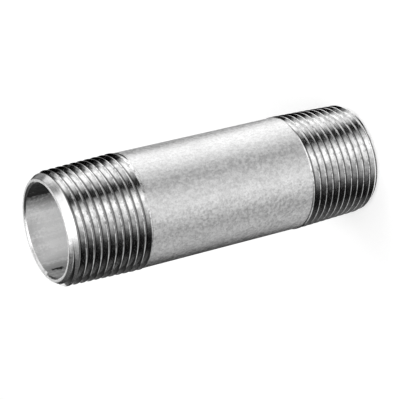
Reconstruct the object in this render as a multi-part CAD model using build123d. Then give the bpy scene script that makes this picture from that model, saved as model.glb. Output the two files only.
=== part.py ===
from build123d import *

import os

# Pipe nipple: one length of pipe, tapered at each end for a right-hand taper thread.
# It stands on its lower end face. The origin is the centre of that face, and +Z is the pipe's axis.
# Lengths are in millimetres.

# The pipe
overall_length = 101.6
outside_diameter = 33.4
wall_thickness = 3.38

# The threaded stretch, which is the same at both ends: a cone through the thread's crests
taper_on_diameter = 1 / 16
threaded_length = 24.6
crest_rise = 0.24

# The end faces
bore_bevel = 0.5
end_face_width = 0.78
end_bevel_length = 2.5

taper_slope = taper_on_diameter / 2
barrel_radius = outside_diameter / 2
bore_radius = barrel_radius - wall_thickness
bore_mouth_radius = bore_radius + bore_bevel
end_face_radius = bore_mouth_radius + end_face_width

# The shoulder at the inner end of the thread falls from the last crest to the barrel at 45 degrees
shoulder_height = threaded_length - crest_rise


def crest_radius(height):
    """Radius of the cone of crests, at a height above the thread's own end face."""
    return barrel_radius + crest_rise + taper_slope * (height - shoulder_height)


def pipe_nipple():
    """The nipple, turned whole from its half outline and the same outline turned end over end."""
    lower_half = [
        (bore_radius, bore_bevel),
        (bore_mouth_radius, 0),
        (end_face_radius, 0),
        (crest_radius(end_bevel_length), end_bevel_length),
        (crest_radius(shoulder_height), shoulder_height),
        (barrel_radius, threaded_length),
    ]
    upper_half = [(radius, overall_length - height) for radius, height in reversed(lower_half)]
    outline = make_face(Polyline(lower_half + upper_half, close=True))
    return revolve(Plane.XZ * outline, Axis.Z)


os.makedirs("parts", exist_ok=True)
export_step(pipe_nipple(), "parts/pipe_nipple.step")
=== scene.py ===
"""Pipe nipple: a length of pipe with a taper thread cut on each end.

It stands on its lower end on a pale floor, under soft studio light. Lengths are in metres, +Z is the pipe's
axis, and the upper end is the open end nearer to the camera.
"""

from __future__ import annotations

import logging
import math
from collections.abc import Callable
from dataclasses import dataclass, field
from enum import Enum

import bmesh
import bpy
from mathutils import Matrix, Vector

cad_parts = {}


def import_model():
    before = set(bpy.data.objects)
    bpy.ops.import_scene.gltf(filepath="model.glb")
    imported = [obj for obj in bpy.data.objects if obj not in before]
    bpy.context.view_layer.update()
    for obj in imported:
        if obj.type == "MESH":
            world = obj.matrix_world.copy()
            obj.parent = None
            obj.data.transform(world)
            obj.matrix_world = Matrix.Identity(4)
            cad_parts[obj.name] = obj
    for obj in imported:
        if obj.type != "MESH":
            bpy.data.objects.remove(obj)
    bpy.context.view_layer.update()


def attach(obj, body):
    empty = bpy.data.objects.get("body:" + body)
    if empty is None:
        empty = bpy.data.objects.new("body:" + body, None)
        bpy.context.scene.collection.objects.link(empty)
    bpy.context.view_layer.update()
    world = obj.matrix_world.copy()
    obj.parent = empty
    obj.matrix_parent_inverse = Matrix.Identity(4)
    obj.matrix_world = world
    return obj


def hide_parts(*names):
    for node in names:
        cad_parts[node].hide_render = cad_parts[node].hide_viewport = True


LOG = logging.getLogger("pipe_nipple")

MM = 0.001
MERGE_DISTANCE = 0.001 * MM
STEPS_ROUND = 192
STUDIO_STEPS_ROUND = 96
SECTION_CORNERS = 4

# Parts of a noise's range that are spread over a whole one. The narrower the part, the harder the spots.
NARROW = (0.35, 0.65)
MEDIUM = (0.34, 0.66)
WIDE = (0.30, 0.70)


@dataclass(frozen=True)
class ThreadForm:
    """Section and taper of the thread, which is the same at both ends.

    Heights are measured from the thread's own end face, inwards.
    """

    pitch: float = 25.4 / 11.5 * MM
    slope: float = 1 / 32
    crest_radius: float = 16.925 * MM
    crest_height: float = 24.36 * MM
    crest_flat: float = 0.24 * MM
    root_flat: float = 0.20 * MM
    half_angle: float = math.radians(30)

    @property
    def depth(self) -> float:
        """Depth of the groove, from the crest's flat to the root's."""
        return (self.pitch - self.crest_flat - self.root_flat) / 2 / math.tan(self.half_angle)

    def radius_of_crests(self, height: float) -> float:
        """Radius of the cone of crests.

        Args:
            height: Height above the thread's own end face.

        Returns:
            The radius there.
        """
        return self.crest_radius + self.slope * (height - self.crest_height)


@dataclass(frozen=True)
class PipeForm:
    """Sizes of the pipe that the threads are cut on."""

    overall_length: float = 101.6 * MM
    barrel_radius: float = 16.7 * MM
    bore_radius: float = 13.32 * MM
    bore_bevel: float = 0.5 * MM
    end_face_width: float = 0.78 * MM
    end_bevel_length: float = 2.5 * MM
    edge_rounding: float = 0.15 * MM
    threaded_length: float = 24.6 * MM
    seam_azimuth: float = math.radians(146)
    seam_rise: float = 0.16 * MM


THREAD = ThreadForm()
PIPE = PipeForm()


# Helpers for edit mode


def deselect_everything() -> None:
    """Leaves object mode's selection empty, so that an operator acts on nothing by accident."""
    if bpy.context.object is not None and bpy.context.object.mode != "OBJECT":
        bpy.ops.object.mode_set(mode="OBJECT")
    bpy.ops.object.select_all(action="DESELECT")


def make_active(piece: bpy.types.Object) -> None:
    """Selects one piece alone and makes it the active object.

    Args:
        piece: The object that the next operators act on.
    """
    deselect_everything()
    piece.select_set(True)
    bpy.context.view_layer.objects.active = piece


def select_vertices(piece: bpy.types.Object, wanted: Callable[[bmesh.types.BMVert], bool]) -> None:
    """Selects the wanted vertices of a piece that is in edit mode, and no others.

    Args:
        piece: The object in edit mode.
        wanted: A test that takes a vertex and says whether it is selected.
    """
    shape = bmesh.from_edit_mesh(piece.data)
    for vertex in shape.verts:
        vertex.select = wanted(vertex)
    shape.select_flush_mode()
    bmesh.update_edit_mesh(piece.data)


def select_edges(piece: bpy.types.Object, wanted: Callable[[Vector, Vector], bool]) -> None:
    """Selects the edges of a piece that is in edit mode, by the places of their two ends.

    Args:
        piece: The object in edit mode.
        wanted: A test that takes the two places and says whether the edge is selected.
    """
    bpy.ops.mesh.select_mode(type="EDGE")
    bpy.ops.mesh.select_all(action="DESELECT")
    shape = bmesh.from_edit_mesh(piece.data)
    for edge in shape.edges:
        if wanted(edge.verts[0].co, edge.verts[1].co):
            edge.select_set(True)
    bmesh.update_edit_mesh(piece.data)


def apply_modifier(piece: bpy.types.Object, kind: str, **settings: object) -> None:
    """Adds a modifier to a piece and applies it.

    Args:
        piece: The object to change.
        kind: Blender's name of the modifier.
        **settings: The modifier's properties.
    """
    make_active(piece)
    modifier = piece.modifiers.new(kind.lower(), kind)
    for name, value in settings.items():
        setattr(modifier, name, value)
    bpy.ops.object.modifier_apply(modifier=modifier.name)


# Finishes


@dataclass(frozen=True)
class Graph:
    """A short way to add nodes to a material, a world or a node group, and to join them."""

    tree: bpy.types.NodeTree

    def node(self, kind: str, sockets: dict | None = None, **settings: object) -> bpy.types.Node:
        """Adds a node.

        Args:
            kind: Blender's name of the node type.
            sockets: What goes into each input: another node's output, or a value.
            **settings: The node's own properties.

        Returns:
            The new node.
        """
        made = self.tree.nodes.new(kind)
        for name, value in settings.items():
            setattr(made, name, value)
        for key, value in (sockets or {}).items():
            if isinstance(value, bpy.types.NodeSocket):
                self.tree.links.new(value, made.inputs[key])
            else:
                made.inputs[key].default_value = value
        return made

    def join_output(self, shader: bpy.types.Node, kind: str = "ShaderNodeOutputMaterial") -> None:
        """Joins the last shader to a new output node.

        Args:
            shader: The node whose first output is the finished surface.
            kind: Blender's name of the output node's type.
        """
        self.tree.links.new(shader.outputs[0], self.node(kind).inputs["Surface"])

    def math(
        self, operation: str, *values: bpy.types.NodeSocket | float, clamp: bool = False
    ) -> bpy.types.NodeSocket:
        """Adds a Math node.

        Args:
            operation: The operation, as Blender names it.
            *values: Its inputs, as outputs of other nodes or as numbers.
            clamp: Whether the result is kept from 0 to 1.

        Returns:
            The result's socket.
        """
        sockets = dict(enumerate(values))
        return self.node("ShaderNodeMath", sockets, operation=operation, use_clamp=clamp).outputs[0]

    def mix(
        self, share: bpy.types.NodeSocket, first: bpy.types.NodeSocket, other: bpy.types.NodeSocket | float
    ) -> bpy.types.NodeSocket:
        """Mixes two numbers.

        Args:
            share: The other number's share, from 0 to 1.
            first: The first number.
            other: The other number.

        Returns:
            The mixed number's socket.
        """
        return self.node("ShaderNodeMix", {"Factor": share, "A": first, "B": other}).outputs[0]

    def fit(
        self, value: bpy.types.NodeSocket, low: float, high: float, to_low: float, to_high: float
    ) -> bpy.types.NodeSocket:
        """Maps a value's range onto another, smoothly and without going past it.

        Args:
            value: The value's socket.
            low: Value that becomes to_low.
            high: Value that becomes to_high.
            to_low: First end of the new range.
            to_high: Other end of the new range.

        Returns:
            The mapped value's socket.
        """
        sockets = {0: value, 1: low, 2: high, 3: to_low, 4: to_high}
        made = self.node("ShaderNodeMapRange", sockets, interpolation_type="SMOOTHSTEP")
        return made.outputs[0]

    def noise(
        self, place: bpy.types.NodeSocket, scale: float, detail: float, roughness: float
    ) -> bpy.types.NodeSocket:
        """Adds a noise texture.

        Args:
            place: The coordinates' socket.
            scale: Noise cells in a unit of the coordinates.
            detail: Number of octaves.
            roughness: How much the finer octaves count.

        Returns:
            The noise value's socket.
        """
        sockets = {"Vector": place, "Scale": scale, "Detail": detail, "Roughness": roughness}
        return self.node("ShaderNodeTexNoise", sockets).outputs[0]

    def drawn_out(self, place: bpy.types.NodeSocket, along: float) -> bpy.types.NodeSocket:
        """Scales coordinates along the pipe's axis alone, which draws a pattern out or squeezes it.

        Args:
            place: The coordinates' socket.
            along: The scale along Z.

        Returns:
            The new coordinates' socket.
        """
        sockets = {"Vector": place, "Scale": (1.0, 1.0, along)}
        return self.node("ShaderNodeMapping", sockets).outputs[0]

    def scaled(self, place: bpy.types.NodeSocket, factor: bpy.types.NodeSocket) -> bpy.types.NodeSocket:
        """Scales coordinates evenly.

        Args:
            place: The coordinates' socket.
            factor: The scale.

        Returns:
            The new coordinates' socket.
        """
        return self.node("ShaderNodeVectorMath", {0: place, "Scale": factor}, operation="SCALE").outputs[0]

    def towards(self, place: bpy.types.NodeSocket, azimuth: float, unit: float = 1.0) -> bpy.types.NodeSocket:
        """Measures how far each point lies from the axis towards an azimuth.

        Args:
            place: The coordinates' socket.
            azimuth: The direction, from +X towards +Y.
            unit: The length that counts as 1.

        Returns:
            The distance's socket.
        """
        way = (math.cos(azimuth) / unit, math.sin(azimuth) / unit, 0.0)
        made = self.node("ShaderNodeVectorMath", {0: place, 1: way}, operation="DOT_PRODUCT")
        return made.outputs["Value"]

    def parts(self, place: bpy.types.NodeSocket) -> bpy.types.NodeOutputs:
        """Gives the three sockets of X, Y and Z."""
        return self.node("ShaderNodeSeparateXYZ", {0: place}).outputs

    def radius(self, parts: bpy.types.NodeOutputs) -> bpy.types.NodeSocket:
        """Works out each point's distance from the pipe's axis.

        Args:
            parts: The sockets of X, Y and Z.

        Returns:
            The distance's socket.
        """
        squares = self.math("ADD", self.math("POWER", parts[0], 2.0), self.math("POWER", parts[1], 2.0))
        return self.math("SQRT", squares)


def empty_material(name: str) -> tuple[bpy.types.Material, Graph]:
    """Makes a material with no nodes.

    Args:
        name: The material's name.

    Returns:
        The material and its graph.
    """
    material = bpy.data.materials.new(name)
    material.use_nodes = True
    material.node_tree.nodes.clear()
    return material, Graph(material.node_tree)


def new_group(
    name: str, inputs: dict[str, float], outputs: tuple[str, ...]
) -> tuple[bpy.types.NodeTree, Graph, bpy.types.Node, bpy.types.Node]:
    """Makes an empty shader node group, with a vector input and named values.

    Args:
        name: The group's name.
        inputs: Names and first values of its number inputs.
        outputs: Names of its number outputs.

    Returns:
        The group, its Graph, its input node and its output node.
    """
    group = bpy.data.node_groups.new(name, "ShaderNodeTree")
    group.interface.new_socket("Place", in_out="INPUT", socket_type="NodeSocketVector")
    for label, value in inputs.items():
        socket = group.interface.new_socket(label, in_out="INPUT", socket_type="NodeSocketFloat")
        socket.default_value = value
    for label in outputs:
        group.interface.new_socket(label, in_out="OUTPUT", socket_type="NodeSocketFloat")
    graph = Graph(group)
    return group, graph, graph.node("NodeGroupInput"), graph.node("NodeGroupOutput")


@dataclass(frozen=True)
class SkinGrain:
    """Grain of a pickled, unmachined skin: soft clouds, a fine mottle, a dusting of grit and small pits.

    Each size is the number of cells to a metre.
    """

    clouds: float = 130.0
    mottle: float = 1300.0
    grit: float = 2600.0
    pits: float = 900.0
    pitted_places: float = 420.0
    mottle_length: float = 0.8

    def build(self) -> bpy.types.NodeTree:
        """Makes the node group.

        Returns:
            The node group.
        """
        outputs = ("Clouds", "Mottle", "Grit", "Pits")
        group, graph, given, out = new_group("skin_grain", {"Coarseness": 1.0}, outputs)
        place = graph.scaled(given.outputs["Place"], given.outputs["Coarseness"])
        clouds = graph.noise(place, self.clouds, 2.0, 0.5)
        mottle = graph.noise(graph.drawn_out(place, self.mottle_length), self.mottle, 2.0, 0.55)
        grit = graph.noise(place, self.grit, 2.0, 0.6)
        sockets = {"Vector": place, "Scale": self.pits, "Randomness": 1.0}
        distance = graph.node("ShaderNodeTexVoronoi", sockets).outputs["Distance"]
        pitted = graph.fit(graph.noise(place, self.pitted_places, 2.0, 0.5), 0.60, 0.72, 0.0, 1.0)
        pits = graph.math("MULTIPLY", graph.fit(distance, 0.10, 0.34, 1.0, 0.0), pitted)
        for label, value in zip(outputs, (clouds, mottle, grit, pits)):
            group.links.new(value, out.inputs[label])
        return group


@dataclass(frozen=True)
class ToolMarks:
    """Marks that a tool leaves on turning work: fine rings about the axis, and their unevenness.

    Each size is the number of cells to a metre.
    """

    rings: float = 5200.0
    chatter: float = 620.0
    ring_share: float = 0.05
    face_share: float = 0.7
    chatter_length: float = 0.5

    def build(self) -> bpy.types.NodeTree:
        """Makes the node group.

        Returns:
            The node group. Its rings run round the sides, and round the axis on the end faces.
        """
        group, graph, given, out = new_group("tool_marks", {"Fineness": 1.0}, ("Rings", "Chatter"))
        place = graph.scaled(given.outputs["Place"], given.outputs["Fineness"])
        parts = graph.parts(place)
        turned = (
            graph.math("MULTIPLY", parts[0], self.ring_share),
            graph.math("MULTIPLY", parts[1], self.ring_share),
            graph.math("MULTIPLY_ADD", graph.radius(parts), self.face_share, parts[2]),
        )
        course = graph.node("ShaderNodeCombineXYZ", dict(enumerate(turned))).outputs[0]
        rings = graph.noise(course, self.rings, 3.0, 0.6)
        chatter = graph.noise(graph.drawn_out(place, self.chatter_length), self.chatter, 3.0, 0.65)
        group.links.new(rings, out.inputs["Rings"])
        group.links.new(chatter, out.inputs["Chatter"])
        return group


def pipe_place() -> bpy.types.NodeTree:
    """Makes the node group that tells where a point is on the pipe.

    Returns:
        The node group. Inwards is the distance from the nearer end face, and Groove goes from 0 at the
        crests of the threads to 1 at their roots.
    """
    group, graph, given, out = new_group("pipe_place", {}, ("Inwards", "Groove"))
    parts = graph.parts(given.outputs["Place"])
    inwards = graph.math("MINIMUM", parts[2], graph.math("SUBTRACT", PIPE.overall_length, parts[2]))
    crest = graph.math("MULTIPLY_ADD", inwards, THREAD.slope, THREAD.radius_of_crests(0.0))
    below = graph.math("SUBTRACT", crest, graph.radius(parts))
    groove = graph.math("DIVIDE", below, THREAD.depth, clamp=True)
    group.links.new(inwards, out.inputs["Inwards"])
    group.links.new(groove, out.inputs["Groove"])
    return group


@dataclass(frozen=True)
class Groups:
    """The node groups that the finishes share."""

    grain: bpy.types.NodeTree
    marks: bpy.types.NodeTree
    pipe: bpy.types.NodeTree


@dataclass(frozen=True)
class Finish:
    """What every finish has: a name, its greys, its shine and its relief."""

    name: str
    dark: float
    light: float
    smooth: float
    rough: float
    relief: float
    metal: float = 1.0
    shine: float = 0.5

    def start(self) -> tuple[bpy.types.Material, Graph, bpy.types.NodeSocket, bpy.types.Node]:
        """Makes the material with its shader and no pattern yet.

        Returns:
            The material, its graph, the place of each point on the nipple, and the metal's shader.
        """
        material, graph = empty_material(self.name)
        material.diffuse_color = (self.light, self.light, self.light, 1.0)
        place = graph.node("ShaderNodeTexCoord").outputs["Object"]
        sockets = {"Metallic": self.metal, "Specular IOR Level": self.shine}
        shader = graph.node("ShaderNodeBsdfPrincipled", sockets)
        graph.join_output(shader)
        return material, graph, place, shader

    def dress(
        self,
        graph: Graph,
        shader: bpy.types.Node,
        tone: bpy.types.NodeSocket,
        gloss: bpy.types.NodeSocket,
        height: bpy.types.NodeSocket,
    ) -> None:
        """Joins a finish's values to the shader.

        Args:
            graph: The material's graph.
            shader: The metal's shader.
            tone: From 0, the dark grey, to 1, the light one.
            gloss: From 0, smooth, to 1, rough.
            height: Height of the relief, in units of its depth.
        """
        links = graph.tree.links
        ramp = graph.node("ShaderNodeValToRGB", {"Fac": tone})
        for element, grey in zip(ramp.color_ramp.elements, (self.dark, self.light)):
            element.color = (grey, grey, grey, 1.0)
        links.new(ramp.outputs[0], shader.inputs["Base Color"])
        links.new(graph.fit(gloss, 0.0, 1.0, self.smooth, self.rough), shader.inputs["Roughness"])
        bump = graph.node("ShaderNodeBump", {"Height": height, "Strength": 1.0, "Distance": self.relief})
        links.new(bump.outputs[0], shader.inputs["Normal"])


@dataclass(frozen=True)
class PicklingSpots:
    """Coarser, darker spots that the pickling left along one side of the barrel."""

    azimuth: float = math.radians(-142)
    side: tuple[float, float] = (0.58, 0.90)
    cells: float = 1000.0
    hardness: tuple[float, float] = (0.36, 0.66)
    lightest: float = 0.22
    darkest: float = -0.26
    tone_kept: float = 0.615

    def add(
        self, graph: Graph, place: bpy.types.NodeSocket, tone: bpy.types.NodeSocket
    ) -> bpy.types.NodeSocket:
        """Adds the spots to the skin's tone.

        Args:
            graph: The material's graph.
            place: The place of each point on the nipple.
            tone: The skin's tone, from 0 to 1.

        Returns:
            The tone with the spots, in the upper part of the range where there are none.
        """
        towards = graph.towards(place, self.azimuth, PIPE.barrel_radius)
        spotted = graph.fit(towards, *self.side, 0.0, 1.0)
        noise = graph.noise(place, self.cells, 3.0, 0.7)
        spots = graph.fit(noise, *self.hardness, self.lightest, self.darkest)
        plain = graph.math("MULTIPLY_ADD", tone, self.tone_kept, 1 - self.tone_kept)
        return graph.math("MULTIPLY_ADD", spotted, spots, plain, clamp=True)


@dataclass(frozen=True)
class WeldMarks:
    """Dark scale left beside the bore's welded seam near the mouths, and painted shade inside the mouths.

    The painted shade is deep at one side of each mouth, faint at the other and light all round its rim,
    fading inwards. Sides are given in bore radii towards an azimuth, and reaches are distances in from the
    end face.
    Between the scale and the shade the skin keeps a small spread of its tones, above a pale base.
    """

    tone_spread: float = 0.30
    tone_base: float = 0.92
    scale_cells: float = 900.0
    scale_raggedness: float = 2.4 * MM
    scale_width: tuple[float, float] = (1.5 * MM, 2.2 * MM)
    scale_start: tuple[float, float] = (1.5 * MM, 2.5 * MM)
    scale_end: tuple[float, float] = (5.0 * MM, 7.5 * MM)
    # From here on, the painted shade inside the mouths.
    tint_azimuth: float = math.radians(8)
    tint_cells: float = 300.0
    tint_raggedness: float = 4.0 * MM
    tint_reach: tuple[float, float] = (9.0 * MM, 28.0 * MM)
    deep_side: tuple[float, float] = (0.42, 1.02)
    deep: float = 1.15
    faint_side: tuple[float, float] = (-0.80, -0.26)
    faint: float = 0.66
    edge_reach: tuple[float, float] = (1.0 * MM, 9.0 * MM)
    edge: float = 0.30

    def scale(
        self, graph: Graph, place: bpy.types.NodeSocket, inwards: bpy.types.NodeSocket
    ) -> bpy.types.NodeSocket:
        """Marks the dark scale beside the seam.

        Args:
            graph: The material's graph.
            place: The place of each point on the nipple.
            inwards: The distance from the nearer end face.

        Returns:
            A mask, 1 where the scale is.
        """
        seam_side = graph.math("GREATER_THAN", graph.towards(place, PIPE.seam_azimuth), 0.0)
        beside = graph.math("ABSOLUTE", graph.towards(place, PIPE.seam_azimuth + math.pi / 2))
        ragged = graph.math("MULTIPLY", graph.noise(place, self.scale_cells, 3.0, 0.7), self.scale_raggedness)
        near_seam = graph.fit(graph.math("ADD", beside, ragged), *self.scale_width, 1.0, 0.0)
        started = graph.fit(inwards, *self.scale_start, 0.0, 1.0)
        not_ended = graph.fit(inwards, *self.scale_end, 1.0, 0.0)
        stretch = graph.math("MULTIPLY", started, not_ended)
        return graph.math("MULTIPLY", graph.math("MULTIPLY", near_seam, stretch), seam_side)

    def tint(
        self, graph: Graph, place: bpy.types.NodeSocket, inwards: bpy.types.NodeSocket
    ) -> bpy.types.NodeSocket:
        """Marks the painted shade inside the mouths: deep at one side, faint at the other and light all round
        the rim, fading inwards.

        Args:
            graph: The material's graph.
            place: The place of each point on the nipple.
            inwards: The distance from the nearer end face.

        Returns:
            A mask, 1 or more where the painted shade is darkest.
        """
        towards = graph.towards(place, self.tint_azimuth, PIPE.bore_radius)
        uneven = graph.math("MULTIPLY", graph.noise(place, self.tint_cells, 3.0, 0.6), self.tint_raggedness)
        reach = graph.math("ADD", inwards, uneven)
        deep = graph.fit(towards, *self.deep_side, 0.0, self.deep)
        faint = graph.fit(towards, *self.faint_side, self.faint, 0.0)
        fading = graph.fit(reach, *self.tint_reach, 1.0, 0.0)
        sides = graph.math("MULTIPLY", graph.math("MAXIMUM", deep, faint), fading)
        return graph.math("MAXIMUM", sides, graph.fit(reach, *self.edge_reach, self.edge, 0.0))

    def add(
        self, graph: Graph, place: bpy.types.NodeSocket, tone: bpy.types.NodeSocket, groups: Groups
    ) -> bpy.types.NodeSocket:
        """Adds the scale and the painted shade to the skin's tone.

        Args:
            graph: The material's graph.
            place: The place of each point on the nipple.
            tone: The skin's tone, from 0 to 1.
            groups: The shared node groups.

        Returns:
            The tone with the scale and the painted shade.
        """
        pipe = graph.node("ShaderNodeGroup", {"Place": place}, node_tree=groups.pipe)
        inwards = pipe.outputs["Inwards"]
        # The scale is a real mark; the rest of the darkening is painted shade.
        marks = graph.math("MAXIMUM", self.scale(graph, place, inwards), self.tint(graph, place, inwards))
        pale = graph.math("MULTIPLY_ADD", tone, self.tone_spread, self.tone_base)
        return graph.math("SUBTRACT", pale, marks, clamp=True)


@dataclass(frozen=True)
class SatinSkin(Finish):
    """The pickled skin of the barrel and the bore: pale, satin and finely mottled.

    Clouds, mottle, grit, streaks and pits each have a share of the tone's range.
    """

    coarseness: float = 1.0
    clouds: float = 0.1
    mottle: float = 0.5
    grit: float = 0.4
    pits: float = 0.5
    streaks: float = 0.1
    streak_cells: float = 620.0
    streak_length: float = 0.04
    spots: PicklingSpots | None = None
    weld: WeldMarks | None = None

    def build(self, groups: Groups) -> bpy.types.Material:
        """Makes the material.

        Args:
            groups: The shared node groups.

        Returns:
            The material.
        """
        material, graph, place, shader = self.start()
        sockets = {"Place": place, "Coarseness": self.coarseness}
        skin = graph.node("ShaderNodeGroup", sockets, node_tree=groups.grain)
        clouds, mottle, grit, pits = (skin.outputs[name] for name in ("Clouds", "Mottle", "Grit", "Pits"))
        streak = graph.noise(graph.drawn_out(place, self.streak_length), self.streak_cells, 3.0, 0.6)
        tone = graph.math(
            "ADD", graph.fit(clouds, *NARROW, 0.0, self.clouds), graph.fit(mottle, *MEDIUM, 0.0, self.mottle)
        )
        tone = graph.math("ADD", tone, graph.fit(grit, *MEDIUM, 0.0, self.grit))
        tone = graph.math("SUBTRACT", tone, graph.fit(streak, *NARROW, 0.0, self.streaks))
        tone = graph.math("SUBTRACT", tone, graph.math("MULTIPLY", pits, self.pits), clamp=True)
        if self.spots is not None:
            tone = self.spots.add(graph, place, tone)
        if self.weld is not None:
            tone = self.weld.add(graph, place, tone, groups)
        gloss = graph.math("ADD", graph.fit(mottle, *WIDE, 0.0, 0.8), graph.fit(clouds, *WIDE, 0.2, 0.0))
        height = graph.math("MULTIPLY_ADD", grit, 0.35, graph.math("SUBTRACT", mottle, pits))
        self.dress(graph, shader, tone, gloss, height)
        return material


@dataclass(frozen=True)
class ThreadWear:
    """Nicks that handling leaves on a thread's crests, and painted shade that darkens its roots.

    Zones are parts of the way from crest to root.
    """

    nick_cells: float = 900.0
    nick_hardness: tuple[float, float] = (0.48, 0.66)
    nick_zone: tuple[float, float] = (0.02, 0.14)
    nicks: float = 0.7
    # Painted shade in the grooves: the roots are darkened, and also made rougher.
    grime_zone: tuple[float, float] = (0.66, 0.95)
    grime: float = 0.85
    grime_gloss: float = 0.5

    def masks(
        self, graph: Graph, place: bpy.types.NodeSocket, groups: Groups
    ) -> tuple[bpy.types.NodeSocket, bpy.types.NodeSocket]:
        """Marks the nicks and the painted shade at the roots.

        Args:
            graph: The material's graph.
            place: The place of each point on the nipple.
            groups: The shared node groups.

        Returns:
            The nicks' mask and the painted root shade's mask.
        """
        pipe = graph.node("ShaderNodeGroup", {"Place": place}, node_tree=groups.pipe)
        groove = pipe.outputs["Groove"]
        noise = graph.noise(place, self.nick_cells, 3.0, 0.6)
        nicks = graph.fit(noise, *self.nick_hardness, 0.0, self.nicks)
        nicks = graph.math("MULTIPLY", nicks, graph.fit(groove, *self.nick_zone, 1.0, 0.0))
        return nicks, graph.fit(groove, *self.grime_zone, 0.0, self.grime)


@dataclass(frozen=True)
class CutMetal(Finish):
    """Bright metal as a tool leaves it, with a thread's nicks and painted root shade where it is given them.
    """

    fineness: float = 1.0
    common_chatter: tuple[float, float] = (0.35, 0.6)
    rare_chatter: tuple[float, float] = (0.5, 0.72)
    ring_tone: tuple[float, float] = (0.4, 0.7)
    chatter_tone: float = 0.3
    ring_gloss: float = 0.4
    chatter_gloss: float = 0.6
    chatter_height: float = 0.8
    wear: ThreadWear | None = None

    def build(self, groups: Groups) -> bpy.types.Material:
        """Makes the material.

        Args:
            groups: The shared node groups.

        Returns:
            The material.
        """
        material, graph, place, shader = self.start()
        sockets = {"Place": place, "Fineness": self.fineness}
        turned = graph.node("ShaderNodeGroup", sockets, node_tree=groups.marks)
        rings = turned.outputs["Rings"]
        chatter = turned.outputs["Chatter"]
        ring_tone = graph.fit(rings, *WIDE, *self.ring_tone)
        tone = graph.math("ADD", ring_tone, graph.fit(chatter, *self.common_chatter, 0.0, self.chatter_tone))
        ring_gloss = graph.fit(rings, *WIDE, 0.0, self.ring_gloss)
        gloss = graph.math("ADD", ring_gloss, graph.fit(chatter, *self.rare_chatter, 0.0, self.chatter_gloss))
        height = graph.math("ADD", rings, graph.math("MULTIPLY", chatter, self.chatter_height))
        if self.wear is not None:
            nicks, grime = self.wear.masks(graph, place, groups)
            # The nicks are real wear; the darker roots are painted shade.
            tone = graph.math("SUBTRACT", tone, graph.math("MAXIMUM", grime, nicks), clamp=True)
            grimy = graph.math("MULTIPLY", grime, self.wear.grime_gloss)
            gloss = graph.math("ADD", gloss, grimy, clamp=True)
            height = graph.math("SUBTRACT", height, nicks)
        self.dress(graph, shader, tone, gloss, height)
        return material


@dataclass(frozen=True)
class FinishSet:
    """The nipple's finishes, in the order of its material slots."""

    skin: SatinSkin = SatinSkin(
        "pickled_skin",
        dark=0.40,
        light=0.92,
        smooth=0.30,
        rough=0.44,
        relief=0.03 * MM,
        spots=PicklingSpots(),
    )
    thread: CutMetal = CutMetal(
        "cut_thread", dark=0.35, light=0.95, smooth=0.08, rough=0.20, relief=0.006 * MM, wear=ThreadWear()
    )
    faced: CutMetal = CutMetal(
        "faced_end", dark=0.70, light=0.95, smooth=0.20, rough=0.34, relief=0.010 * MM, fineness=0.8
    )
    bore: SatinSkin = SatinSkin(
        "bore_skin",
        # The near-black grey shows only where the seam scale and the painted shade at the mouths take the
        # tone down.
        dark=0.015,
        light=0.99,
        smooth=0.40,
        rough=0.60,
        relief=0.03 * MM,
        metal=0.0,
        shine=0.15,
        coarseness=1.2,
        streaks=0.7,
        weld=WeldMarks(),
    )

    def build(self) -> list[bpy.types.Material]:
        """Makes the materials.

        Returns:
            The materials of the skin, the threads, the faced ends and the bore.
        """
        groups = Groups(SkinGrain().build(), ToolMarks().build(), pipe_place())
        return [finish.build(groups) for finish in (self.skin, self.thread, self.faced, self.bore)]


# The nipple


class End(Enum):
    """The two ends of the nipple."""

    LOWER = "lower"
    UPPER = "upper"


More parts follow.
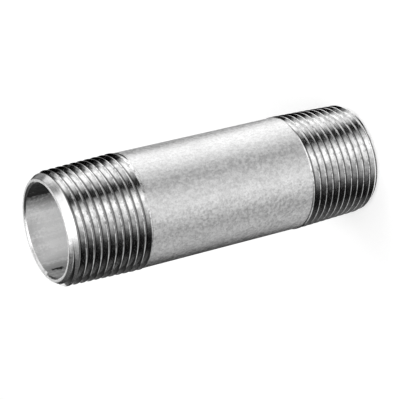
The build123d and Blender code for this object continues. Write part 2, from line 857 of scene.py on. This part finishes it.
@dataclass
class TaperThread:
    """The groove of one taper thread, as a cutter that is taken away from the blank.

    Heights are measured from the thread's own end face, inwards.
    """

    end: End
    last_angle: float
    last_height: float
    clearance: float = 0.1 * MM
    turns: int = 11
    steps: int = STEPS_ROUND
    lead_in_turns: float = 0.25
    lead_in_rise: float = 0.62 * MM
    run_out_turns: float = 0.45
    run_out_rise: float = 1.66 * MM

    def profile(self) -> bpy.types.Object:
        """Makes the groove's section, standing on the XZ plane at the first turn's height.

        Returns:
            An object of one face: a trapezoid, wide above the crests and narrow at the root.
        """
        crest = THREAD.radius_of_crests(THREAD.crest_height / 2)
        root = crest - THREAD.depth
        top = crest + self.clearance
        first_height = self.last_height - self.turns * THREAD.pitch
        deselect_everything()
        bpy.ops.mesh.primitive_plane_add(
            size=1, location=((root + top) / 2, 0, first_height), rotation=(math.pi / 2, 0, 0)
        )
        section = bpy.context.active_object
        bpy.ops.object.transform_apply(location=False, rotation=True, scale=False)
        bpy.ops.object.mode_set(mode="EDIT")
        bpy.ops.transform.resize(value=(top - root, 1, THREAD.root_flat))
        select_vertices(section, lambda vertex: vertex.co.x > 0)
        wide = THREAD.root_flat + 2 * (top - root) * math.tan(THREAD.half_angle)
        bpy.ops.transform.resize(value=(1, 1, wide / THREAD.root_flat))
        bpy.ops.object.mode_set(mode="OBJECT")
        bpy.ops.object.transform_apply(location=True, rotation=True, scale=True)
        return section

    def taper(self, cutter: bpy.types.Object) -> None:
        """Narrows the helix towards the end face, so that it follows the cone of crests.

        Args:
            cutter: The swept groove, whose radius is right half way along the thread.
        """
        middle = THREAD.crest_height / 2
        for vertex in cutter.data.vertices:
            across = Vector((vertex.co.x, vertex.co.y, 0))
            vertex.co += across.normalized() * THREAD.slope * (vertex.co.z - middle)

    def rise(self, number: int) -> float:
        """Gives how far a section is lifted out of the metal.

        Args:
            number: The section's number, from 0 at the end face.

        Returns:
            The lift: it falls to 0 over the lead-in, and grows over the run-out.
        """
        led = number / self.steps / self.lead_in_turns
        left = (self.turns - number / self.steps) / self.run_out_turns
        return self.lead_in_rise * max(0.0, 1 - led) + self.run_out_rise * max(0.0, 1 - left)

    def select_section(self, cutter: bpy.types.Object, number: int) -> None:
        """Selects the corners of one section of the groove.

        Args:
            cutter: The swept groove in edit mode, its sections in order from the end face inwards.
            number: The section's number, from 0 at the end face.
        """
        select_vertices(cutter, lambda vertex: vertex.index // SECTION_CORNERS == number)

    def lift_ends(self, cutter: bpy.types.Object) -> None:
        """Lifts the groove's two ends out of the metal, one section after the other.

        Args:
            cutter: The swept groove.
        """
        make_active(cutter)
        bpy.ops.object.mode_set(mode="EDIT")
        for number in range(self.turns * self.steps + 1):
            rise = self.rise(number)
            if rise == 0:
                continue
            self.select_section(cutter, number)
            angle = (number % self.steps) / self.steps * math.tau
            bpy.ops.transform.translate(value=(rise * math.cos(angle), rise * math.sin(angle), 0))
        bpy.ops.object.mode_set(mode="OBJECT")

    def close_ends(self, cutter: bpy.types.Object) -> None:
        """Fills the first and the last section, and turns the faces outwards.

        Args:
            cutter: The swept groove.
        """
        make_active(cutter)
        bpy.ops.object.mode_set(mode="EDIT")
        for number in (0, self.turns * self.steps):
            self.select_section(cutter, number)
            bpy.ops.mesh.edge_face_add()
        bpy.ops.mesh.select_all(action="SELECT")
        bpy.ops.mesh.normals_make_consistent(inside=False)
        bpy.ops.object.mode_set(mode="OBJECT")

    def build(self) -> bpy.types.Object:
        """Makes the cutter and puts it at its end of the pipe.

        Returns:
            The cutter, a closed mesh.
        """
        cutter = self.profile()
        apply_modifier(
            cutter,
            "SCREW",
            axis="Z",
            angle=math.tau,
            screw_offset=THREAD.pitch,
            iterations=self.turns,
            steps=self.steps,
            render_steps=self.steps,
            use_merge_vertices=False,
        )
        self.lift_ends(cutter)
        self.taper(cutter)
        self.close_ends(cutter)
        make_active(cutter)
        cutter.matrix_world = Matrix.Rotation(self.last_angle, 4, "Z") @ cutter.matrix_world
        if self.end is End.UPPER:
            flip = Matrix.Translation((0, 0, PIPE.overall_length)) @ Matrix.Rotation(math.pi, 4, "X")
            cutter.matrix_world = flip @ cutter.matrix_world
        bpy.ops.object.transform_apply(location=True, rotation=True, scale=True)
        cutter.name = f"{self.end.value}_thread_cutter"
        return cutter


@dataclass
class Nipple:
    """The nipple: a turned blank, open right through, with a thread cut on each end."""

    steps: int = STEPS_ROUND
    rounding_segments: int = 3
    margin: float = 0.02 * MM
    barrel_steepness: float = 0.2
    bevel_steepness: tuple[float, float] = (0.5, 0.6)
    smooth_under: float = math.radians(25)
    threads: tuple[TaperThread, ...] = field(
        default_factory=lambda: (
            TaperThread(End.LOWER, last_angle=math.radians(110), last_height=24.475 * MM),
            TaperThread(End.UPPER, last_angle=math.radians(100), last_height=25.17 * MM),
        )
    )

    def outline(self) -> list[tuple[float, float]]:
        """Half section of the blank, once round.

        Returns:
            Pairs of radius and height, from the lower mouth of the bore outwards and up.
        """
        mouth = PIPE.bore_radius + PIPE.bore_bevel
        half = [
            (PIPE.bore_radius, PIPE.bore_bevel),
            (mouth, 0.0),
            (mouth + PIPE.end_face_width, 0.0),
            (THREAD.radius_of_crests(PIPE.end_bevel_length), PIPE.end_bevel_length),
            (THREAD.crest_radius, THREAD.crest_height),
            (PIPE.barrel_radius, PIPE.threaded_length),
        ]
        return half + [(radius, PIPE.overall_length - height) for radius, height in reversed(half)]

    def turn_blank(self) -> bpy.types.Object:
        """Turns the blank: one ring, extruded and scaled along the outline until it closes on itself.

        Returns:
            The blank, a closed mesh.
        """
        outline = self.outline()
        radius, height = outline[0]
        deselect_everything()
        bpy.ops.mesh.primitive_circle_add(
            vertices=self.steps, radius=radius, fill_type="NOTHING", location=(0, 0, height)
        )
        blank = bpy.context.active_object
        bpy.ops.object.transform_apply(location=True, rotation=True, scale=True)
        bpy.ops.object.mode_set(mode="EDIT")
        bpy.ops.mesh.select_all(action="SELECT")
        for next_radius, next_height in outline[1:] + outline[:1]:
            bpy.ops.mesh.extrude_edges_move(TRANSFORM_OT_translate={"value": (0, 0, next_height - height)})
            scale = next_radius / radius
            bpy.ops.transform.resize(value=(scale, scale, 1), center_override=(0, 0, next_height))
            radius, height = next_radius, next_height
        bpy.ops.mesh.select_all(action="SELECT")
        bpy.ops.mesh.remove_doubles(threshold=MERGE_DISTANCE)
        bpy.ops.mesh.normals_make_consistent(inside=False)
        self.raise_seam(blank)
        self.round_edges(blank)
        bpy.ops.object.mode_set(mode="OBJECT")
        return blank

    def raise_seam(self, blank: bpy.types.Object) -> None:
        """Raises the welded seam's low bead along the bore.

        Args:
            blank: The turned blank, in edit mode.
        """
        inwards = Vector((-math.cos(PIPE.seam_azimuth), -math.sin(PIPE.seam_azimuth), 0.0))
        seam_reach = 0.95 * PIPE.bore_radius * math.tau / self.steps

        def on_seam(vertex: bmesh.types.BMVert) -> bool:
            """Tells which vertices are raised.

            Args:
                vertex: A vertex of the blank.

            Returns:
                Whether it is on the bore and less than a step away from the seam.
            """
            flat = Vector((vertex.co.x, vertex.co.y, 0.0))
            beside = (flat + inwards * PIPE.bore_radius).length
            return flat.length < PIPE.bore_radius + PIPE.bore_bevel / 2 and beside < seam_reach

        bpy.ops.mesh.select_mode(type="VERT")
        select_vertices(blank, on_seam)
        bpy.ops.transform.translate(value=inwards * PIPE.seam_rise)

    def round_edges(self, blank: bpy.types.Object) -> None:
        """Takes the sharpness off the inner and the outer edge of both end faces.

        Args:
            blank: The turned blank, in edit mode.
        """

        def round_the_face(one: Vector, other: Vector) -> bool:
            """Tells which edges are rounded.

            Args:
                one: An edge's one end.
                other: Its other end.

            Returns:
                Whether the edge runs round an end face.
            """
            low = max(one.z, other.z) < self.margin
            high = min(one.z, other.z) > PIPE.overall_length - self.margin
            same_ring = abs(math.hypot(one.x, one.y) - math.hypot(other.x, other.y)) < self.margin
            return (low or high) and same_ring

        select_edges(blank, round_the_face)
        bpy.ops.mesh.bevel(offset=PIPE.edge_rounding, segments=self.rounding_segments, affect="EDGES")

    def cut_threads(self, blank: bpy.types.Object) -> None:
        """Cuts both threads into the blank.

        Args:
            blank: The turned blank.
        """
        for thread in self.threads:
            cutter = thread.build()
            apply_modifier(blank, "BOOLEAN", operation="DIFFERENCE", solver="EXACT", object=cutter)
            bpy.data.objects.remove(cutter)

    def finish_of(self, face: bpy.types.MeshPolygon) -> int:
        """Chooses a face's finish, by where it is and how steep it stands.

        Args:
            face: A face of the finished mesh.

        Returns:
            The number of its material slot.
        """
        skin, thread, faced, bore = range(4)
        face_edge = PIPE.bore_radius + PIPE.bore_bevel + PIPE.end_face_width + PIPE.edge_rounding
        height = min(face.center.z, PIPE.overall_length - face.center.z)
        radius = math.hypot(face.center.x, face.center.y)
        steepness = abs(face.normal.z)
        if radius < PIPE.bore_radius + self.margin:
            return bore
        if height > PIPE.threaded_length - self.margin and steepness < self.barrel_steepness:
            return skin
        on_bevel = self.bevel_steepness[0] < steepness < self.bevel_steepness[1]
        if height < PIPE.end_bevel_length and (radius < face_edge or on_bevel):
            return faced
        return thread

    def dress(self, piece: bpy.types.Object, finishes: list[bpy.types.Material]) -> None:
        """Gives each face its finish.

        Args:
            piece: The finished mesh.
            finishes: The materials of the skin, the threads, the faced ends and the bore.
        """
        for material in finishes:
            piece.data.materials.append(material)
        for face in piece.data.polygons:
            face.material_index = self.finish_of(face)

    def build(self, finishes: list[bpy.types.Material]) -> bpy.types.Object:
        """Builds the nipple.

        Args:
            finishes: The materials of the skin, the threads, the faced ends and the bore.

        Returns:
            The finished piece, unturned at the origin.
        """
        piece = self.turn_blank()
        self.cut_threads(piece)
        piece.name = "nipple"
        self.dress(piece, finishes)
        make_active(piece)
        bpy.ops.object.shade_smooth_by_angle(angle=self.smooth_under)
        return piece


# The studio


@dataclass(frozen=True)
class PhotoCamera:
    """The camera at the photograph's viewing angle."""

    lens: float = 154.17
    sensor_width: float = 36.0
    clip: tuple[float, float] = (0.01, 20.0)
    place: tuple[float, float, float] = (-0.0019, -0.4359, 0.2804)
    right: tuple[float, float, float] = (-0.2382, -0.4494, -0.8610)
    up: tuple[float, float, float] = (0.9712, -0.1102, -0.2112)
    back: tuple[float, float, float] = (0.0, -0.8865, 0.4627)

    def build(self) -> None:
        """Makes the scene's camera."""
        data = bpy.data.cameras.new("camera")
        data.lens = self.lens
        data.sensor_width = self.sensor_width
        data.clip_start, data.clip_end = self.clip
        camera = bpy.data.objects.new("camera", data)
        bpy.context.scene.collection.objects.link(camera)
        turn = Matrix((self.right, self.up, self.back)).transposed().to_4x4()
        camera.matrix_world = Matrix.Translation(self.place) @ turn
        bpy.context.scene.camera = camera


Greys = tuple[tuple[int, float], ...]


def graded(graph: Graph, angle: bpy.types.NodeSocket, stops: Greys) -> bpy.types.NodeSocket:
    """Grades a brightness by an angle.

    Args:
        graph: The material's graph.
        angle: The angle's socket, in radians from -pi to pi.
        stops: Angles in degrees and the brightness at each.

    Returns:
        The brightness's socket.
    """
    brightest = max(brightness for _, brightness in stops)
    turn = graph.math("MULTIPLY_ADD", angle, 1 / math.tau, 0.5)
    ramp = graph.node("ShaderNodeValToRGB", {"Fac": turn})
    elements = ramp.color_ramp.elements
    elements.remove(elements[0])
    for number, (degrees, brightness) in enumerate(stops):
        element = elements[0] if number == 0 else elements.new(degrees / 360 + 0.5)
        element.position = degrees / 360 + 0.5
        element.color = (brightness / brightest,) * 3 + (1.0,)
    return graph.math("MULTIPLY", ramp.outputs[0], brightest)


def glowing_material(name: str) -> tuple[bpy.types.Material, Graph]:
    """Makes an empty material for a stage piece whose glow isn't a lamp.

    Args:
        name: The material's name.

    Returns:
        The material and its graph.
    """
    material, graph = empty_material(name)
    material.cycles.emission_sampling = "NONE"
    return material, graph


@dataclass(frozen=True)
class ReflectionPiece:
    """A stage piece that is seen only in the nipple's reflections, and lights nothing."""

    def shape(self) -> bpy.types.Object:
        """Makes the piece without its material."""
        raise NotImplementedError

    def paint(self) -> bpy.types.Material:
        """Makes the piece's material."""
        raise NotImplementedError

    def build(self) -> None:
        """Makes the piece, paints it, and hides it from all but the reflections."""
        piece = self.shape()
        material = self.paint()
        piece.name = material.name
        piece.data.materials.append(material)
        piece.visible_camera = False
        piece.visible_diffuse = False
        piece.visible_shadow = False
        piece.visible_transmission = False
        piece.visible_volume_scatter = False


@dataclass(frozen=True)
class ReflectionScreen(ReflectionPiece):
    """A grey disc that lies about the nipple, with a collar that stands on it.

    The greys change with the azimuth, which is 0 on the camera's side and 90 on the photograph's upper side.
    A ray that left the metal once sees the plain greys, on the disc alone. One that the thread's grooves
    passed from flank to flank sees the groove greys, on the disc and the collar. The plain disc goes dark
    beyond a distance at the back.
    """

    inner: float = 17.5 * MM
    outer: float = 1800 * MM
    height: float = 0.2 * MM
    collar: float = 80 * MM
    collar_height: float = 130 * MM
    back_from: tuple[float, float] = (math.radians(125), math.radians(140))
    back_beyond: tuple[float, float] = (220 * MM, 270 * MM)
    back_grey: float = 0.03
    second_bounce: float = 1.5
    plain_greys: Greys = (
        (-180, 0.25), (-168, 0.00), (-156, 0.00), (-144, 0.00), (-130, 0.00), (-120, 0.30), (-108, 0.45),
        (-96, 0.57), (-84, 0.62), (-66, 0.45), (-54, 0.44), (-42, 0.72), (-30, 0.82), (-18, 1.05), (-6, 0.90),
        (6, 0.84), (18, 0.69), (30, 0.40), (42, 0.42), (54, 0.80), (66, 1.02), (78, 1.23), (90, 1.40),
        (102, 1.38), (114, 1.12), (126, 0.38), (138, 0.15), (150, 0.35), (162, 1.00), (180, 1.20),
    )  # fmt: skip
    groove_greys: Greys = (
        (-180, 0.10), (-160, 0.06), (-151, 0.10), (-143, 0.15), (-134, 0.12), (-125, 0.12), (-106, 0.09),
        (-96, 0.06), (-86, 0.01), (-65, 0.01), (-54, 0.03), (-42, 0.13), (-30, 0.40), (-18, 0.65), (-6, 0.95),
        (6, 1.45), (18, 1.60), (30, 0.80), (42, 0.02), (54, 0.04), (65, 0.55), (76, 1.30), (86, 1.55),
        (96, 1.55), (106, 0.30), (116, 0.00), (125, 0.00), (134, 0.00), (143, 0.00), (151, 0.00), (160, 0.00),
        (180, 0.05),
    )  # fmt: skip

    def shape(self) -> bpy.types.Object:
        """Makes the screen: a flat ring on the floor, and a collar that stands on it.

        Returns:
            The screen's object, still without a material.
        """
        deselect_everything()
        low = (0, 0, self.height)
        bpy.ops.mesh.primitive_circle_add(
            vertices=STUDIO_STEPS_ROUND, radius=self.inner, fill_type="NOTHING", location=low
        )
        screen = bpy.context.active_object
        bpy.ops.object.transform_apply(location=True, rotation=True, scale=True)
        bpy.ops.object.mode_set(mode="EDIT")
        bpy.ops.mesh.select_all(action="SELECT")
        bpy.ops.mesh.extrude_edges_move(TRANSFORM_OT_translate={"value": (0, 0, 0)})
        widen = self.outer / self.inner
        bpy.ops.transform.resize(value=(widen, widen, 1), center_override=low)
        bpy.ops.mesh.select_all(action="DESELECT")
        foot = (0, 0, 2 * self.height)
        bpy.ops.mesh.primitive_circle_add(
            vertices=STUDIO_STEPS_ROUND, radius=self.collar, fill_type="NOTHING", location=foot
        )
        bpy.ops.mesh.extrude_edges_move(TRANSFORM_OT_translate={"value": (0, 0, self.collar_height)})
        bpy.ops.object.mode_set(mode="OBJECT")
        return screen

    def paint(self) -> bpy.types.Material:
        """Makes the screen's material.

        Returns:
            The material.
        """
        material, graph = glowing_material("reflection_screen")
        parts = graph.parts(graph.node("ShaderNodeTexCoord").outputs["Object"])
        azimuth = graph.math("ARCTAN2", parts[0], graph.math("MULTIPLY", parts[1], -1.0))
        bounces = graph.node("ShaderNodeLightPath").outputs["Ray Depth"]
        again = graph.math("GREATER_THAN", bounces, self.second_bounce)
        remote = graph.fit(graph.radius(parts), *self.back_beyond, 0.0, 1.0)
        behind = graph.fit(graph.math("ABSOLUTE", azimuth), *self.back_from, 0.0, 1.0)
        far_back = graph.math("MULTIPLY", remote, behind)
        plain = graph.mix(far_back, graded(graph, azimuth, self.plain_greys), self.back_grey)
        strength = graph.mix(again, plain, graded(graph, azimuth, self.groove_greys))
        glow = graph.node("ShaderNodeEmission", {"Strength": strength})
        lying = graph.math("LESS_THAN", parts[2], 1.5 * self.height)
        there = graph.math("MAXIMUM", again, lying)
        clear = graph.node("ShaderNodeBsdfTransparent")
        sockets = {0: there, 1: clear.outputs[0], 2: glow.outputs[0]}
        graph.join_output(graph.node("ShaderNodeMixShader", sockets))
        return material


@dataclass(frozen=True)
class ReflectionArch(ReflectionPiece):
    """A graded arch over the nipple, along Y.

    Its greys change with the tilt from straight up, which is positive towards the photograph's upper side,
    and in zones from front to back. The end bevels reflect the front, the lower thread's flanks the middle,
    the upper thread's the back, and the upper end face the end, which is overhead only.
    """

    radius: float = 600 * MM
    length: float = 3200 * MM
    centre_height: float = 50 * MM
    foot_height: float = 10 * MM
    middle_from: tuple[float, float] = (-200 * MM, -50 * MM)
    back_from: tuple[float, float] = (350 * MM, 430 * MM)
    end_from: tuple[float, float] = (1000 * MM, 1100 * MM)
    end_tilt: tuple[float, float] = (math.radians(20), math.radians(35))
    end_grey: float = 0.40
    front_greys: Greys = (
        (-88, 0.00), (-66, 0.03), (-50, 0.22), (-36, 0.45), (-22, 0.85), (-10, 1.10), (0, 1.15), (58, 1.10),
        (80, 1.00), (88, 0.10),
    )  # fmt: skip
    shared_greys: Greys = (
        (-88, 0.02), (-70, 0.08), (-62, 0.12), (-55, 0.10), (-49, 0.05), (-43, 0.02), (-36, 0.01),
        (-29, 0.02), (-26, 0.06), (-22, 0.16), (-17, 0.30), (-12, 0.42), (-8, 0.50), (-3, 0.80), (2, 1.20),
        (8, 1.25), (12, 0.95), (16, 0.20), (21, 0.18),
    )  # fmt: skip
    middle_greys: Greys = (
        (26, 0.60), (29, 0.80), (33, 0.82), (44, 0.75), (46, 0.60), (49, 0.10), (54, 0.02), (60, 0.30),
        (66, 0.95), (82, 0.90), (88, 0.30),
    )  # fmt: skip
    back_greys: Greys = (
        (26, 0.50), (29, 0.85), (33, 0.90), (36, 0.85), (39, 0.35), (42, 0.01), (46, 0.00), (60, 0.00),
        (70, 0.05), (80, 0.30), (88, 0.30),
    )  # fmt: skip

    def shape(self) -> bpy.types.Object:
        """Makes the arch: a tunnel along Y, cut off a little above the floor.

        Returns:
            The arch's object, still without a material.
        """
        deselect_everything()
        bpy.ops.mesh.primitive_cylinder_add(
            vertices=STUDIO_STEPS_ROUND,
            radius=self.radius,
            depth=self.length,
            end_fill_type="NOTHING",
            location=(0, 0, self.centre_height),
            rotation=(math.pi / 2, 0, 0),
        )
        arch = bpy.context.active_object
        bpy.ops.object.transform_apply(location=True, rotation=True, scale=True)
        bpy.ops.object.mode_set(mode="EDIT")
        bpy.ops.mesh.select_mode(type="VERT")
        select_vertices(arch, lambda vertex: vertex.co.z < self.foot_height)
        bpy.ops.mesh.delete(type="VERT")
        bpy.ops.object.mode_set(mode="OBJECT")
        return arch

    def paint(self) -> bpy.types.Material:
        """Makes the arch's material.

        Returns:
            The material.
        """
        material, graph = glowing_material("reflection_arch")
        parts = graph.parts(graph.node("ShaderNodeTexCoord").outputs["Object"])
        tilt = graph.math("ARCTAN2", parts[0], graph.math("SUBTRACT", parts[2], self.centre_height))
        strength = graded(graph, tilt, self.front_greys)
        for start, greys in ((self.middle_from, self.middle_greys), (self.back_from, self.back_greys)):
            past = graph.fit(parts[1], *start, 0.0, 1.0)
            strength = graph.mix(past, strength, graded(graph, tilt, self.shared_greys + greys))
        past = graph.fit(parts[1], *self.end_from, 0.0, 1.0)
        overhead = graph.fit(graph.math("ABSOLUTE", tilt), *self.end_tilt, 1.0, 0.0)
        strength = graph.mix(graph.math("MULTIPLY", past, overhead), strength, self.end_grey)
        graph.join_output(graph.node("ShaderNodeEmission", {"Strength": strength}))
        return material


@dataclass(frozen=True)
class Softbox:
    """A square lamp that points at the middle of the nipple."""

    name: str
    place: tuple[float, float, float]
    size: float
    brightness: float
    aim: tuple[float, float, float] = (0.0, 0.0, 50 * MM)

    def build(self) -> None:
        """Hangs the lamp."""
        lamp = bpy.data.lights.new(self.name, "AREA")
        lamp.size = self.size
        lamp.energy = self.brightness * math.pi * self.size**2
        hung = bpy.data.objects.new(self.name, lamp)
        bpy.context.scene.collection.objects.link(hung)
        hung.location = self.place
        hung.rotation_euler = (Vector(self.place) - Vector(self.aim)).to_track_quat("Z", "Y").to_euler()


@dataclass(frozen=True)
class Studio:
    """Pale floor, soft light, and the screen and the arch that shape the reflections."""

    floor_size: float = 4.0
    floor_colour: float = 0.75
    floor_glow: float = 0.40
    edge_glow: float = 0.80
    lit_radius: float = 0.4
    room_light: float = 0.5
    white: float = 1.0
    softboxes: tuple[Softbox, ...] = (
        Softbox("side_softbox", (0.50, 0.10, 0.62), 0.60, 1.6),
        Softbox("front_softbox", (-0.10, -0.45, 0.80), 0.60, 3.2),
    )

    def background_rays(self, graph: Graph) -> bpy.types.NodeSocket:
        """Tells the rays that see the background as it is.

        Args:
            graph: The graph of the floor's material or of the world.

        Returns:
            A value of 1 for camera, glossy and transmission rays.
        """
        path = graph.node("ShaderNodeLightPath")
        seen = graph.math("MAXIMUM", path.outputs["Is Camera Ray"], path.outputs["Is Glossy Ray"])
        return graph.math("MAXIMUM", seen, path.outputs["Is Transmission Ray"])

    def lay_floor(self) -> None:
        """Lays the pale floor that the nipple stands on. Away from it, the floor fades to plain white."""
        deselect_everything()
        bpy.ops.mesh.primitive_plane_add(size=self.floor_size)
        floor = bpy.context.active_object
        floor.name = "floor"
        material, graph = glowing_material("pale_floor")
        matt = graph.node("ShaderNodeBsdfDiffuse", {"Color": (self.floor_colour,) * 3 + (1.0,)})
        place = graph.node("ShaderNodeTexCoord").outputs["Object"]
        away = graph.node("ShaderNodeVectorMath", {0: place}, operation="LENGTH").outputs["Value"]
        level = graph.fit(away, self.lit_radius, self.floor_size / 2, self.floor_glow, self.edge_glow)
        strength = graph.math("MULTIPLY", self.background_rays(graph), level)
        glow = graph.node("ShaderNodeEmission", {"Strength": strength})
        graph.join_output(graph.node("ShaderNodeAddShader", {0: matt.outputs[0], 1: glow.outputs[0]}))
        floor.data.materials.append(material)

    def light(self) -> None:
        """Hangs the softboxes and sets the world."""
        for softbox in self.softboxes:
            softbox.build()
        world = bpy.data.worlds.new("pale_room")
        bpy.context.scene.world = world
        world.use_nodes = True
        world.node_tree.nodes.clear()
        graph = Graph(world.node_tree)
        strength = graph.fit(self.background_rays(graph), 0.0, 1.0, self.room_light, self.white)
        room = graph.node("ShaderNodeBackground", {"Color": (1.0, 1.0, 1.0, 1.0), "Strength": strength})
        graph.join_output(room, "ShaderNodeOutputWorld")

    def build(self) -> None:
        """Builds the whole studio."""
        self.lay_floor()
        self.light()
        ReflectionScreen().build()
        ReflectionArch().build()


def main() -> None:
    """Builds the scene in order: the frame, the camera, the nipple and the studio."""
    logging.basicConfig(level=logging.INFO, format="%(name)s: %(message)s")
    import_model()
    bpy.context.scene.view_settings.view_transform = "Standard"
    PhotoCamera().build()
    piece = Nipple().build(FinishSet().build())
    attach(piece, "root")
    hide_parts("pipe_nipple")
    LOG.info("%s: %d faces", piece.name, len(piece.data.polygons))
    Studio().build()


if __name__ == "__main__":
    main()
